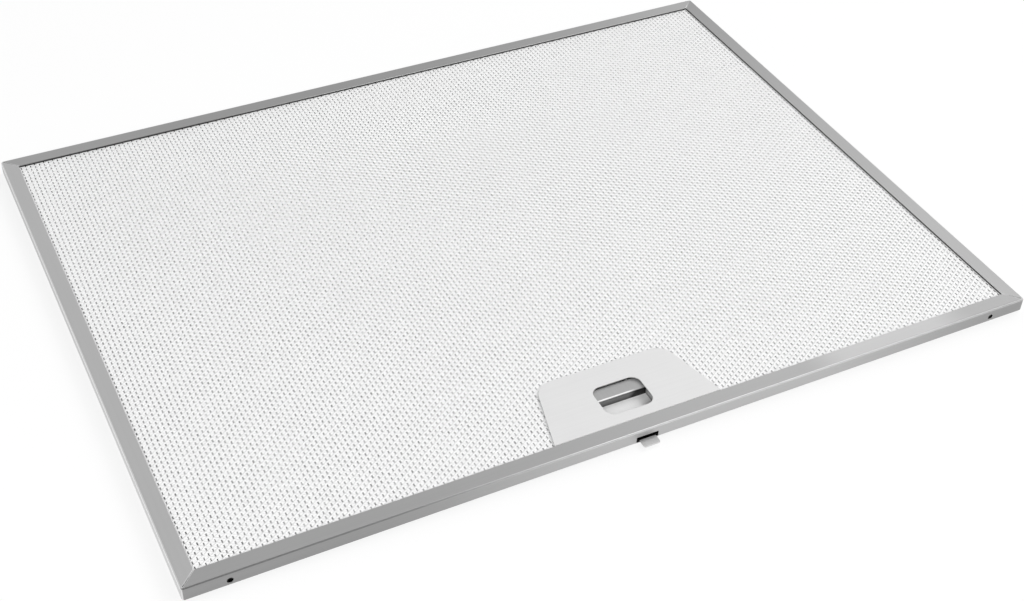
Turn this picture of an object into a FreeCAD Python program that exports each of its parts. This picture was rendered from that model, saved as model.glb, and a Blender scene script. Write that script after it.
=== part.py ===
import FreeCAD, Part
import os
import Sketcher

# Cooker hood grease filter: a roll-formed aluminium frame round a pack of expanded metal,
# with a spring latch that a fingertip draws back. It lies with its latch side up.
# +X runs along the long side, -Y is the latch edge, +Z is up, and the origin is the middle
# of the frame on the surface that it lies on. Lengths are in millimetres.

SIZES = {
    # The frame is one strip with a lip along both edges, folded round four corners.
    "frame_width": 460.0,
    "frame_depth": 340.0,
    "frame_height": 8.0,
    "strip_thickness": 0.6,
    "flange_width": 8.4,
    "fold_radius": 1.0,
    "corner_radius": 1.5,
    "mitre_gap": 0.3,
    "seam_tab_length": 14.0,
    "drain_diameter": 3.0,
    "drain_inset": 21.7,
    "drain_height": 3.2,
    "slot_width": 12.0,
    "slot_height": 3.4,
    # The two outer sheets of expanded metal, with a ridge for each row of strands.
    "mesh_height": 1.2,
    "mesh_web": 0.5,
    "mesh_border": 6.0,
    "row_pitch": 3.17,
    "ridge_foot": 2.3,
    "ridge_crest": 0.7,
    "row_gap": 0.7,
    # The crimped sheets between them.
    "wave_pitch": 8.0,
    "wave_sheet": 0.25,
    "wave_slit": 1.2,
    "layer_gap": 0.1,
    # The plate that covers the latch, and its finger opening.
    "plate_thickness": 0.6,
    "plate_front_width": 96.0,
    "plate_back_width": 72.0,
    "plate_reach": 48.7,
    "plate_joggle": 0.5,
    "plate_lip_gap": 0.4,
    "plate_corner_radius": 10.0,
    "plate_edge_radius": 0.2,
    "finger_width": 26.2,
    "finger_length": 20.2,
    "finger_reach": 15.0,
    "finger_corner_radius": 5.0,
    # The pressed tray under the plate.
    "tray_sheet": 0.5,
    "tray_bend_radius": 0.3,
    "tray_flange": 5.7,
    "tray_clearance": 0.5,
    "fold_clearance": 0.2,
    # The slider: tongue, floor, finger face, top and back lip, bent from one strip.
    "slider_width": 29.0,
    "slider_sheet": 0.8,
    "slider_bend_radius": 0.5,
    "slider_side_gap": 0.3,
    "slider_floor_gap": 0.1,
    "slider_top_gap": 0.4,
    "slider_stop_gap": 0.1,
    "finger_face_reach": 27.0,
    "slider_reach": 35.8,
    "tongue_width": 9.0,
    "tongue_length": 5.0,
    "tongue_corner_radius": 1.0,
    "tongue_bevel": 0.4,
    # The two return springs and the pegs that hold them.
    "spring_length": 8.7,
    "spring_diameter": 3.4,
    "spring_wire": 0.35,
    "spring_turns": 6.5,
    "spring_spacing": 18.0,
    "spring_end_gap": 0.15,
    "peg_diameter": 1.9,
    "peg_length": 1.4,
}

INNER_LAYERS = 3

doc = FreeCAD.newDocument("grease_filter")
sheet = doc.addObject("Spreadsheet::Sheet", "Sizes")
for row, (alias, number) in enumerate(SIZES.items(), 1):
    sheet.set(f"A{row}", alias)
    sheet.set(f"B{row}", str(number))
    sheet.setAlias(f"B{row}", alias)
doc.recompute()

# Places that several pieces share, as expressions on the sheet.
HALF_WIDTH = "Sizes.frame_width / 2"
HALF_DEPTH = "Sizes.frame_depth / 2"
BOTTOM_LIP = "Sizes.strip_thickness"
TOP_LIP = "(Sizes.frame_height - Sizes.strip_thickness)"
PLATE_UNDERSIDE = f"({TOP_LIP} - Sizes.plate_thickness)"
FOLD_INSET = "(Sizes.fold_radius + Sizes.fold_clearance)"
MESH_INSET = "(Sizes.fold_radius + Sizes.strip_thickness)"
MESH_HALF_WIDTH = f"({HALF_WIDTH} - {MESH_INSET})"
MESH_HALF_DEPTH = f"({HALF_DEPTH} - {MESH_INSET})"
TRAY_HALF_WIDTH = "(Sizes.slider_width / 2 + Sizes.slider_side_gap)"
TRAY_OUTER_HALF_WIDTH = f"({TRAY_HALF_WIDTH} + Sizes.tray_sheet)"
TRAY_FLOOR = f"({BOTTOM_LIP} + Sizes.tray_sheet)"
TRAY_REACH = "(Sizes.slider_reach + Sizes.spring_length)"
TRAY_OUTER_REACH = f"({TRAY_REACH} + Sizes.tray_sheet)"
SPRING_HEIGHT = f"(({TRAY_FLOOR} + {PLATE_UNDERSIDE}) / 2)"
PACK_MIDDLE = f"(({BOTTOM_LIP} + {PLATE_UNDERSIDE}) / 2)"
MITRE_END = "Sizes.corner_radius"
PAST = "Sizes.frame_height"


def value(expression):
    """The number that an expression on the sheet gives now."""
    return float(sheet.evalExpression(expression))


def behind_front(reach):
    """The Y of a place that lies this far behind the frame's front face."""
    return f"({reach}) - {HALF_DEPTH}"


def datum(body, role):
    """One of the body's own origin planes or axes."""
    return next(f for f in body.Origin.OriginFeatures if f.Role == role)


def new_body(label):
    body = doc.addObject("PartDesign::Body", label)
    body.Label = label
    return body


def new_sketch(body, name, plane, offset=None):
    """A sketch on one of the body's origin planes, moved along the plane's normal by offset."""
    sketch = body.newObject("Sketcher::SketchObject", name)
    sketch.AttachmentSupport = [(datum(body, plane), "")]
    sketch.MapMode = "FlatFace"
    if offset:
        sketch.setExpression("AttachmentOffset.Base.z", offset)
    return sketch


def bind(sketch, kind, geometry, point, expression):
    """Ties a point of the sketch to an expression, measured from the sketch's origin."""
    constraint = Sketcher.Constraint(kind, -1, 1, geometry, point, value(expression))
    index = sketch.addConstraint(constraint)
    name = f"{kind}_{geometry}"
    sketch.renameConstraint(index, name)
    sketch.setExpression(f"Constraints.{name}", expression)


def draw_outline(sketch, corners):
    """A closed outline of straight edges, each corner a pair of expressions."""
    points = [FreeCAD.Vector(value(x), value(y), 0) for x, y in corners]
    first = sketch.GeometryCount
    for start, end in zip(points, points[1:] + points[:1]):
        sketch.addGeometry(Part.LineSegment(start, end), False)
    for i, (x, y) in enumerate(corners):
        before = first + (i - 1) % len(corners)
        sketch.addConstraint(Sketcher.Constraint("Coincident", before, 2, first + i, 1))
        bind(sketch, "DistanceX", first + i, 1, x)
        bind(sketch, "DistanceY", first + i, 1, y)


def draw_rectangle(sketch, left, right, low, high):
    draw_outline(sketch, [(left, low), (right, low), (right, high), (left, high)])


def draw_circle(sketch, x, y, diameter):
    centre = FreeCAD.Vector(value(x), value(y), 0)
    circle = Part.Circle(centre, FreeCAD.Vector(0, 0, 1), value(diameter) / 2)
    geometry = sketch.addGeometry(circle, False)
    bind(sketch, "DistanceX", geometry, 3, x)
    bind(sketch, "DistanceY", geometry, 3, y)
    index = sketch.addConstraint(Sketcher.Constraint("Diameter", geometry, value(diameter)))
    name = f"Diameter_{geometry}"
    sketch.renameConstraint(index, name)
    sketch.setExpression(f"Constraints.{name}", diameter)


def pad(body, name, sketch, length, reverse=False, both_ways=False):
    feature = body.newObject("PartDesign::Pad", name)
    feature.Profile = sketch
    feature.Reversed = reverse
    if both_ways:
        feature.SideType = "Symmetric"
    feature.setExpression("Length", length)
    doc.recompute()
    return feature


def pocket(body, name, sketch, depth=None):
    """Cuts along the sketch's normal, right through where no depth is given."""
    solid = body.Tip.Shape.Volume
    feature = body.newObject("PartDesign::Pocket", name)
    feature.Profile = sketch
    feature.Reversed = True
    if depth:
        feature.setExpression("Length", depth)
    else:
        feature.Type = "ThroughAll"
    doc.recompute()
    if not feature.Shape.Volume < solid:
        raise RuntimeError(f"{body.Label}: {name} cuts nothing")
    return feature


def repeat(body, name, feature, axis, spacing, count):
    """Copies of one feature in a row along one of the body's axes."""
    pattern = body.newObject("PartDesign::LinearPattern", name)
    pattern.Originals = [feature]
    pattern.Direction = (datum(body, axis), [""])
    pattern.Mode = "Spacing"
    pattern.Refine = False
    pattern.setExpression("Offset", spacing)
    pattern.setExpression("Occurrences", count)
    body.Tip = pattern
    doc.recompute()
    return pattern


def near(a, b):
    return abs(a - b) < 1e-4


def edges_where(feature, test):
    """The names of the feature's edges whose two ends both pass the test."""
    edges = enumerate(feature.Shape.Edges, 1)
    return [f"Edge{i}" for i, edge in edges if all(test(v.Point) for v in edge.Vertexes)]


def upright_edges_at(feature, places):
    """The names of the feature's upright edges that stand at the given X, Y places."""
    names = []
    for i, edge in enumerate(feature.Shape.Edges, 1):
        ends = [v.Point for v in edge.Vertexes]
        upright = len(ends) == 2 and near(ends[0].x, ends[1].x) and near(ends[0].y, ends[1].y)
        if upright and any(near(ends[0].x, x) and near(ends[0].y, y) for x, y in places):
            names.append(f"Edge{i}")
    return names


def cross_edges_at(feature, places):
    """The names of the feature's edges that run along X at the given Y, Z expressions."""
    names = []
    for y, z in places:
        low, high = value(y), value(z)
        names += edges_where(feature, lambda p: near(p.y, low) and near(p.z, high))
    return names


def round_edges(body, name, feature, edges, radius):
    fillet = body.newObject("PartDesign::Fillet", name)
    fillet.Base = (feature, edges)
    fillet.setExpression("Radius", radius)
    doc.recompute()
    return fillet


def make_frame():
    """The folded strip: a channel all round, mitred lips, drain holes and the tongue's slot."""
    body = new_body("frame")
    block = new_sketch(body, "frame_outline", "XY_Plane")
    draw_rectangle(block, f"-{HALF_WIDTH}", HALF_WIDTH, f"-{HALF_DEPTH}", HALF_DEPTH)
    solid = pad(body, "frame_block", block, "Sizes.frame_height")
    x, y = value(HALF_WIDTH), value(HALF_DEPTH)
    places = [(-x, -y), (x, -y), (x, y), (-x, y)]
    corners = upright_edges_at(solid, places)
    solid = round_edges(body, "frame_corners", solid, corners, "Sizes.corner_radius")
    height = value("Sizes.frame_height")
    rims = edges_where(solid, lambda p: near(p.z, 0)) + edges_where(solid, lambda p: near(p.z, height))
    solid = round_edges(body, "frame_folds", solid, rims, "Sizes.fold_radius")

    inside = new_sketch(body, "channel_outline", "XY_Plane", "Sizes.strip_thickness")
    inner_width = f"({HALF_WIDTH} - Sizes.strip_thickness)"
    inner_depth = f"({HALF_DEPTH} - Sizes.strip_thickness)"
    draw_rectangle(inside, f"-{inner_width}", inner_width, f"-{inner_depth}", inner_depth)
    solid = pocket(body, "channel", inside, "Sizes.frame_height - 2 * Sizes.strip_thickness")
    x, y = value(inner_width), value(inner_depth)
    places = [(-x, -y), (x, -y), (x, y), (-x, y)]
    corners = upright_edges_at(solid, places)
    inner_corner = "Sizes.corner_radius - Sizes.strip_thickness"
    solid = round_edges(body, "channel_corners", solid, corners, inner_corner)
    low, high = value(BOTTOM_LIP), value(TOP_LIP)
    rims = edges_where(solid, lambda p: near(p.z, low)) + edges_where(solid, lambda p: near(p.z, high))
    inner_fold = "Sizes.fold_radius - Sizes.strip_thickness"
    solid = round_edges(body, "channel_folds", solid, rims, inner_fold)

    window = new_sketch(body, "window_outline", "XY_Plane")
    window_width = f"({HALF_WIDTH} - Sizes.flange_width)"
    window_depth = f"({HALF_DEPTH} - Sizes.flange_width)"
    draw_rectangle(window, f"-{window_width}", window_width, f"-{window_depth}", window_depth)
    pocket(body, "window", window)

    mitres = new_sketch(body, "mitre_outlines", "XY_Plane")
    step = "Sizes.mitre_gap / 2 / sqrt(2)"
    inner_end = "(Sizes.flange_width + Sizes.mitre_gap)"
    for side in ("", "-"):
        for end in ("", "-"):
            outline = []
            for inset, shift in ((inner_end, "+"), (MITRE_END, "+"), (MITRE_END, "-"), (inner_end, "-")):
                opposite = "-" if shift == "+" else "+"
                corner_x = f"{side}({HALF_WIDTH} - {inset} {shift} {step})"
                corner_y = f"{end}({HALF_DEPTH} - {inset} {opposite} {step})"
                outline.append((corner_x, corner_y))
            draw_outline(mitres, outline)
    pocket(body, "mitres", mitres)

    # The strip's two ends meet at the back right corner, over a tab welded behind the seam.
    seam = new_sketch(body, "seam_outline", "XY_Plane")
    seam_x = f"{HALF_WIDTH} - {MITRE_END}"
    seam_left = f"{seam_x} - Sizes.mitre_gap / 2"
    seam_right = f"{seam_x} + Sizes.mitre_gap / 2"
    draw_rectangle(seam, seam_left, seam_right, f"{HALF_DEPTH} - {MITRE_END}", f"{HALF_DEPTH} + {PAST}")
    pocket(body, "seam", seam)
    tab = new_sketch(body, "seam_tab_outline", "XY_Plane", "Sizes.fold_radius")
    tab_left = f"{inner_width} - Sizes.seam_tab_length"
    draw_rectangle(tab, tab_left, inner_width, f"{inner_depth} - Sizes.strip_thickness", inner_depth)
    pad(body, "seam_tab", tab, "Sizes.frame_height - 2 * Sizes.fold_radius")

    holes = new_sketch(body, "front_holes", "XZ_Plane")
    slot_half = "Sizes.slot_width / 2"
    draw_rectangle(holes, f"-{slot_half}", slot_half, BOTTOM_LIP, f"{BOTTOM_LIP} + Sizes.slot_height")
    for side in ("", "-"):
        drain_x = f"{side}({HALF_WIDTH} - Sizes.drain_inset)"
        draw_circle(holes, drain_x, "Sizes.drain_height", "Sizes.drain_diameter")
    pocket(body, "front_hole_cuts", holes)
    return body


def cut_latch_notch(body):
    """The cut in the front edge of a sheet that clears the latch tray and its flanges."""
    notch = new_sketch(body, "latch_notch_outline", "XY_Plane")
    half = f"({TRAY_OUTER_HALF_WIDTH} + Sizes.tray_flange + Sizes.tray_clearance)"
    back = behind_front(f"{TRAY_OUTER_REACH} + Sizes.tray_clearance")
    draw_rectangle(notch, f"-{half}", half, f"-{HALF_DEPTH}", back)
    pocket(body, "latch_notch", notch)


def make_outer_mesh(label):
    """The upper sheet of expanded metal: a ridge for each row of strands, a gap between rows."""
    body = new_body(label)
    body.setExpression("Placement.Base.z", f"{PLATE_UNDERSIDE} - Sizes.mesh_height")

    outline = new_sketch(body, "web_outline", "XY_Plane")
    draw_rectangle(outline, f"-{MESH_HALF_WIDTH}", MESH_HALF_WIDTH, f"-{MESH_HALF_DEPTH}", MESH_HALF_DEPTH)
    pad(body, "web", outline, "Sizes.mesh_web")

    rows = f"floor((2 * {MESH_HALF_DEPTH} - 2 * Sizes.mesh_border) / Sizes.row_pitch)"
    first_row = f"(({rows} - 1) / 2 * Sizes.row_pitch)"
    ridge = new_sketch(body, "ridge_section", "YZ_Plane")
    foot_low = f"-{first_row} - Sizes.ridge_foot / 2"
    foot_high = f"-{first_row} + Sizes.ridge_foot / 2"
    crest_low = f"-{first_row} - Sizes.ridge_crest / 2"
    crest_high = f"-{first_row} + Sizes.ridge_crest / 2"
    foot_height = "Sizes.mesh_web / 2"
    draw_outline(
        ridge,
        [
            (foot_low, foot_height),
            (foot_high, foot_height),
            (crest_high, "Sizes.mesh_height"),
            (crest_low, "Sizes.mesh_height"),
        ],
    )
    first = pad(body, "ridge", ridge, f"2 * {MESH_HALF_WIDTH}", both_ways=True)
    repeat(body, "ridge_rows", first, "Y_Axis", "Sizes.row_pitch", rows)

    gap = new_sketch(body, "row_gap_outline", "XY_Plane")
    gap_half_width = f"({MESH_HALF_WIDTH} - Sizes.mesh_border)"
    gap_middle = f"-{first_row} + Sizes.row_pitch / 2"
    gap_low = f"{gap_middle} - Sizes.row_gap / 2"
    gap_high = f"{gap_middle} + Sizes.row_gap / 2"
    draw_rectangle(gap, f"-{gap_half_width}", gap_half_width, gap_low, gap_high)
    first = pocket(body, "row_gap_cut", gap)
    repeat(body, "row_gaps", first, "Y_Axis", "Sizes.row_pitch", f"{rows} - 1")
    cut_latch_notch(body)
    return body


def make_inner_mesh(label, order):
    """One crimped inner sheet. The waves of neighbouring sheets cross each other."""
    body = new_body(label)
    space = f"({PLATE_UNDERSIDE} - {BOTTOM_LIP} - 2 * Sizes.mesh_height)"
    wave_height = f"(({space} - {INNER_LAYERS + 1} * Sizes.layer_gap) / {INNER_LAYERS})"
    rise = f"{order + 1} * Sizes.layer_gap + {order} * {wave_height}"
    body.setExpression("Placement.Base.z", f"{BOTTOM_LIP} + Sizes.mesh_height + {rise}")

    across = order % 2 == 1
    run, span = (MESH_HALF_WIDTH, MESH_HALF_DEPTH) if across else (MESH_HALF_DEPTH, MESH_HALF_WIDTH)
    axis = "X_Axis" if across else "Y_Axis"
    waves = f"floor(2 * {run} / Sizes.wave_pitch)"
    start = f"(-{waves} / 2 * Sizes.wave_pitch)"
    middle = f"{start} + Sizes.wave_pitch / 2"
    end = f"{start} + Sizes.wave_pitch"
    sheet_top = "Sizes.wave_sheet"
    chevron = new_sketch(body, "wave_section", "XZ_Plane" if across else "YZ_Plane")
    draw_outline(
        chevron,
        [
            (start, "0 * Sizes.wave_sheet"),
            (middle, f"{wave_height} - Sizes.wave_sheet"),
            (end, "0 * Sizes.wave_sheet"),
            (end, sheet_top),
            (middle, wave_height),
            (start, sheet_top),
        ],
    )
    first = pad(body, "wave", chevron, f"2 * {span}", both_ways=True)
    repeat(body, "waves", first, axis, "Sizes.wave_pitch", waves)

    slits = new_sketch(body, "slit_outlines", "XY_Plane")
    slit_end = f"({span} - Sizes.mesh_border)"
    for quarter in (1, 3):
        flank = f"{start} + {quarter} * Sizes.wave_pitch / 4"
        low = f"{flank} - Sizes.wave_slit / 2"
        high = f"{flank} + Sizes.wave_slit / 2"
        if across:
            draw_rectangle(slits, low, high, f"-{slit_end}", slit_end)
        else:
            draw_rectangle(slits, f"-{slit_end}", slit_end, low, high)
    first = pocket(body, "slit_cuts", slits)
    repeat(body, "slits", first, axis, "Sizes.wave_pitch", waves)
    cut_latch_notch(body)
    return body


def make_mirrored(label, body):
    """The same sheet on the other side of the middle of the mesh pack."""
    mirrored = doc.addObject("Part::Mirroring", label)
    mirrored.Label = label
    mirrored.Source = body
    mirrored.Normal = FreeCAD.Vector(0, 0, 1)
    mirrored.setExpression("Base.z", PACK_MIDDLE)
    doc.recompute()
    return mirrored


def make_latch_plate():
    """The cover plate: a panel with the finger opening, and a lower strip tucked under the lip."""
    body = new_body("latch_plate")
    body.setExpression("Placement.Base.z", PLATE_UNDERSIDE)
    outline = new_sketch(body, "plate_outline", "XY_Plane")
    front, back = behind_front(FOLD_INSET), behind_front("Sizes.plate_reach")
    front_half, back_half = "Sizes.plate_front_width / 2", "Sizes.plate_back_width / 2"
    draw_outline(
        outline,
        [(f"-{front_half}", front), (front_half, front), (back_half, back), (f"-{back_half}", back)],
    )
    panel_top = "(Sizes.plate_joggle + Sizes.plate_thickness)"
    solid = pad(body, "plate", outline, panel_top)
    x, y = value(back_half), value(back)
    corners = upright_edges_at(solid, [(-x, y), (x, y)])
    round_edges(body, "plate_corners", solid, corners, "Sizes.plate_corner_radius")

    step = behind_front("Sizes.flange_width + Sizes.plate_lip_gap")
    tuck = new_sketch(body, "tuck_outline", "XY_Plane", "Sizes.plate_thickness")
    draw_rectangle(tuck, f"-{HALF_WIDTH}", HALF_WIDTH, f"-{HALF_DEPTH}", step)
    pocket(body, "tuck", tuck)
    hollow = new_sketch(body, "panel_underside", "XY_Plane")
    draw_rectangle(hollow, f"-{HALF_WIDTH}", HALF_WIDTH, f"{step} + Sizes.plate_thickness", HALF_DEPTH)
    pocket(body, "panel_hollow", hollow, "Sizes.plate_joggle")

    opening = new_sketch(body, "finger_outline", "XY_Plane")
    half = "Sizes.finger_width / 2"
    low = behind_front("Sizes.finger_reach")
    high = behind_front("Sizes.finger_reach + Sizes.finger_length")
    draw_rectangle(opening, f"-{half}", half, low, high)
    solid = pocket(body, "finger_opening", opening)
    x, low_y, high_y = value(half), value(low), value(high)
    places = [(-x, low_y), (x, low_y), (x, high_y), (-x, high_y)]
    corners = upright_edges_at(solid, places)
    solid = round_edges(body, "finger_corners", solid, corners, "Sizes.finger_corner_radius")
    top = value(panel_top)
    rims = edges_where(solid, lambda p: near(p.z, top))
    round_edges(body, "plate_edges", solid, rims, "Sizes.plate_edge_radius")
    return body


def draw_pegs(sketch):
    """The two spring pegs' sections, for the tray or for the slider."""
    for side in ("", "-"):
        draw_circle(sketch, f"{side}Sizes.spring_spacing / 2", SPRING_HEIGHT, "Sizes.peg_diameter")


def make_latch_tray():
    """The pressed tray that guides the slider, with flanges welded under the plate."""
    body = new_body("latch_tray")
    block = new_sketch(body, "tray_outline", "XY_Plane", BOTTOM_LIP)
    front, back = behind_front(FOLD_INSET), behind_front(TRAY_OUTER_REACH)
    draw_rectangle(block, f"-{TRAY_OUTER_HALF_WIDTH}", TRAY_OUTER_HALF_WIDTH, front, back)
    solid = pad(body, "tray_block", block, f"{PLATE_UNDERSIDE} - {BOTTOM_LIP}")
    front_y = value(front)

    def bend_edges(feature, level):
        """The tray's edges at one level, apart from the open front edge."""
        open_front = edges_where(feature, lambda p: near(p.z, level) and near(p.y, front_y))
        level_edges = edges_where(feature, lambda p: near(p.z, level))
        return [e for e in level_edges if e not in open_front]

    bends = bend_edges(solid, value(BOTTOM_LIP))
    outer_bend = "Sizes.tray_bend_radius + Sizes.tray_sheet"
    round_edges(body, "tray_outer_bends", solid, bends, outer_bend)

    inside = new_sketch(body, "tray_inside", "XY_Plane", TRAY_FLOOR)
    inner_back = behind_front(TRAY_REACH)
    draw_rectangle(inside, f"-{TRAY_HALF_WIDTH}", TRAY_HALF_WIDTH, f"-{HALF_DEPTH}", inner_back)
    solid = pocket(body, "tray_hollow", inside)
    bends = bend_edges(solid, value(TRAY_FLOOR))
    round_edges(body, "tray_inner_bends", solid, bends, "Sizes.tray_bend_radius")

    flanges = new_sketch(body, "tray_flange_outlines", "XY_Plane", f"{PLATE_UNDERSIDE} - Sizes.tray_sheet")
    near_side = TRAY_OUTER_HALF_WIDTH
    far_side = f"({TRAY_OUTER_HALF_WIDTH} + Sizes.tray_flange)"
    draw_rectangle(flanges, near_side, far_side, front, back)
    draw_rectangle(flanges, f"-{far_side}", f"-{near_side}", front, back)
    pad(body, "tray_flanges", flanges, "Sizes.tray_sheet")

    pegs = new_sketch(body, "tray_peg_sections", "XZ_Plane", f"-({inner_back})")
    draw_pegs(pegs)
    pad(body, "tray_pegs", pegs, "Sizes.peg_length")
    return body


def make_latch_slider():
    """The bent strip that a fingertip draws back: its front end is the latch tongue."""
    body = new_body("latch_slider")
    section = new_sketch(body, "slider_section", "YZ_Plane")
    tip = f"-{HALF_DEPTH} - Sizes.tongue_length"
    face = behind_front("Sizes.finger_face_reach")
    face_back = f"{face} + Sizes.slider_sheet"
    back = behind_front("Sizes.slider_reach")
    back_front = f"{back} - Sizes.slider_sheet"
    floor_low = f"{TRAY_FLOOR} + Sizes.slider_floor_gap"
    floor_high = f"{floor_low} + Sizes.slider_sheet"
    top_high = f"{PLATE_UNDERSIDE} - Sizes.slider_top_gap"
    top_low = f"{top_high} - Sizes.slider_sheet"
    draw_outline(
        section,
        [
            (tip, floor_low),
            (face_back, floor_low),
            (face_back, top_low),
            (back_front, top_low),
            (back_front, floor_high),
            (back, floor_high),
            (back, top_high),
            (face, top_high),
            (face, floor_high),
            (tip, floor_high),
        ],
    )
    solid = pad(body, "slider_strip", section, "Sizes.slider_width", both_ways=True)

    inner = cross_edges_at(solid, [(face, floor_high), (face_back, top_low), (back_front, top_low)])
    solid = round_edges(body, "slider_inner_bends", solid, inner, "Sizes.slider_bend_radius")
    outer = cross_edges_at(solid, [(face_back, floor_low), (face, top_high), (back, top_high)])
    outer_bend = "Sizes.slider_bend_radius + Sizes.slider_sheet"
    round_edges(body, "slider_outer_bends", solid, outer, outer_bend)

    shoulders = new_sketch(body, "tongue_sides", "XY_Plane")
    tongue_half, slider_half = "Sizes.tongue_width / 2", "Sizes.slider_width"
    stop = behind_front("Sizes.strip_thickness + Sizes.slider_stop_gap")
    before_tip = f"{tip} - {PAST}"
    draw_rectangle(shoulders, tongue_half, slider_half, before_tip, stop)
    draw_rectangle(shoulders, f"-{slider_half}", f"-{tongue_half}", before_tip, stop)
    solid = pocket(body, "tongue_side_cuts", shoulders)
    x, y = value(tongue_half), value(tip)
    corners = upright_edges_at(solid, [(-x, y), (x, y)])
    solid = round_edges(body, "tongue_corners", solid, corners, "Sizes.tongue_corner_radius")
    low = value(floor_low)
    tip_edge = edges_where(solid, lambda p: near(p.y, y) and near(p.z, low))
    bevel = body.newObject("PartDesign::Chamfer", "tongue_bevel")
    bevel.Base = (solid, tip_edge)
    bevel.setExpression("Size", "Sizes.tongue_bevel")
    doc.recompute()

    pegs = new_sketch(body, "slider_peg_sections", "XZ_Plane", f"-({back})")
    draw_pegs(pegs)
    pad(body, "slider_pegs", pegs, "Sizes.peg_length", reverse=True)
    return body


def make_spring(label, side):
    """One return spring, coiled along Y between the slider's lip and the tray's back wall."""
    body = new_body(label)
    body.setExpression("Placement.Base.x", f"{side}Sizes.spring_spacing / 2")
    body.setExpression("Placement.Base.y", behind_front("Sizes.slider_reach"))
    body.setExpression("Placement.Base.z", SPRING_HEIGHT)
    section = new_sketch(body, f"{label}_wire", "YZ_Plane")
    start = "Sizes.spring_end_gap + Sizes.spring_wire / 2"
    draw_circle(section, start, "(Sizes.spring_diameter - Sizes.spring_wire) / 2", "Sizes.spring_wire")
    coil = body.newObject("PartDesign::AdditiveHelix", f"{label}_coil")
    coil.Profile = section
    coil.ReferenceAxis = (datum(body, "Y_Axis"), [""])
    coil.Mode = "height-turns-angle"
    height = "Sizes.spring_length - 2 * Sizes.spring_end_gap - Sizes.spring_wire"
    coil.setExpression("Height", height)
    coil.setExpression("Turns", "Sizes.spring_turns")
    doc.recompute()
    return body


face_mesh = make_outer_mesh("face_mesh")
inner_mesh_lower = make_inner_mesh("inner_mesh_lower", 0)
pieces = [
    make_frame(),
    make_mirrored("back_mesh", face_mesh),
    inner_mesh_lower,
    make_inner_mesh("inner_mesh_middle", 1),
    make_mirrored("inner_mesh_upper", inner_mesh_lower),
    face_mesh,
    make_latch_plate(),
    make_latch_tray(),
    make_latch_slider(),
    make_spring("latch_spring_left", "-"),
    make_spring("latch_spring_right", ""),
]
doc.recompute()

for item in doc.Objects:
    if "Invalid" in item.State or "Error" in item.State:
        raise RuntimeError(f"{item.Label} failed: {item.State}")
for piece in pieces:
    shape = piece.Shape
    if shape.isNull() or not shape.isValid() or len(shape.Solids) != 1:
        raise RuntimeError(f"{piece.Label} is not one valid solid")

os.makedirs("parts", exist_ok=True)
for piece in pieces:
    piece.Shape.exportStep(f"parts/{piece.Label}.step")
    box = piece.Shape.BoundBox
    print(f"{piece.Label}: {piece.Shape.Volume:.1f} mm3, {len(piece.Shape.Faces)} faces, "
          f"X {box.XMin:.2f} to {box.XMax:.2f}, Y {box.YMin:.2f} to {box.YMax:.2f}, "
          f"Z {box.ZMin:.2f} to {box.ZMax:.2f}")
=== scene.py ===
import math

import bmesh
import bpy
from mathutils import Matrix, Vector


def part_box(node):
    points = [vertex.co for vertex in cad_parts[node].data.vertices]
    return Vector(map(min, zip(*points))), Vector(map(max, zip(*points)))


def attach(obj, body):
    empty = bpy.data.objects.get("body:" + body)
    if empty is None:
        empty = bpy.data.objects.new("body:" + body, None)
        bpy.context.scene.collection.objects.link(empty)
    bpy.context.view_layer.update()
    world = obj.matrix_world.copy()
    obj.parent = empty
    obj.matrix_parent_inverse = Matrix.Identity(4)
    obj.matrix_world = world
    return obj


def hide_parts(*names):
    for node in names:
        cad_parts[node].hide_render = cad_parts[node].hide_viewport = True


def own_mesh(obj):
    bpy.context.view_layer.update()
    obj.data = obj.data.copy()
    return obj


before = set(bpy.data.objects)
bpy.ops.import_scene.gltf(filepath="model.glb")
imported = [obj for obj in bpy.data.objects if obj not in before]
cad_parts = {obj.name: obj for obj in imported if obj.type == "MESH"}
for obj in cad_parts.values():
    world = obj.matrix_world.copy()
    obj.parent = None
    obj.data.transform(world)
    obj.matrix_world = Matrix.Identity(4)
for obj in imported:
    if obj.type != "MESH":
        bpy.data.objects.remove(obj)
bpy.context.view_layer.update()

MM = 0.001

# The frame: one strip of satin aluminium, rolled into a channel with a lip along both edges,
# then notched and folded round four corners, so that its lips meet in mitres. Its ends meet
# at the back right corner over a welded tab. Slot and drain holes are punched in the front.
half_width, half_depth, frame_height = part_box("frame")[1]
strip_thickness = 0.6 * MM
lip_width = 8.4 * MM
fold_radius = 1.0 * MM
corner_radius = 1.5 * MM
mitre_gap = 0.03 * MM
seam_tab_length = 14.0 * MM
slot_width = 12.0 * MM
slot_height = 3.4 * MM
drain_diameter = 3.0 * MM
drain_inset = 21.7 * MM
drain_height = 3.2 * MM
past = 2.0 * MM
sheared_edge = 0.2 * MM
rounded_from = math.radians(40)
creased_from = math.radians(50)
merge_distance = 0.005 * MM
fold_steps = 7
corner_steps = 6
drain_sides = 32
corner_sides = [(1, 1), (-1, 1), (-1, -1), (1, -1)]


def arc(centre, radius, start, end, steps):
    """Points on a circle, from one angle to another in degrees."""
    angles = [math.radians(start + (end - start) * i / steps) for i in range(steps + 1)]
    return [(centre[0] + radius * math.cos(a), centre[1] + radius * math.sin(a)) for a in angles]


def frame_ring(inset, level):
    """A closed line round the frame, at an inset from its outer face."""
    radius = max(corner_radius - inset, 0)
    reach = max(corner_radius, inset)
    points = []
    for quarter, (side_x, side_y) in enumerate(corner_sides):
        centre = (side_x * (half_width - reach), side_y * (half_depth - reach))
        start = 90 * quarter
        points += [(x, y, level) for x, y in arc(centre, radius, start, start + 90, corner_steps)]
    return points


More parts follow.
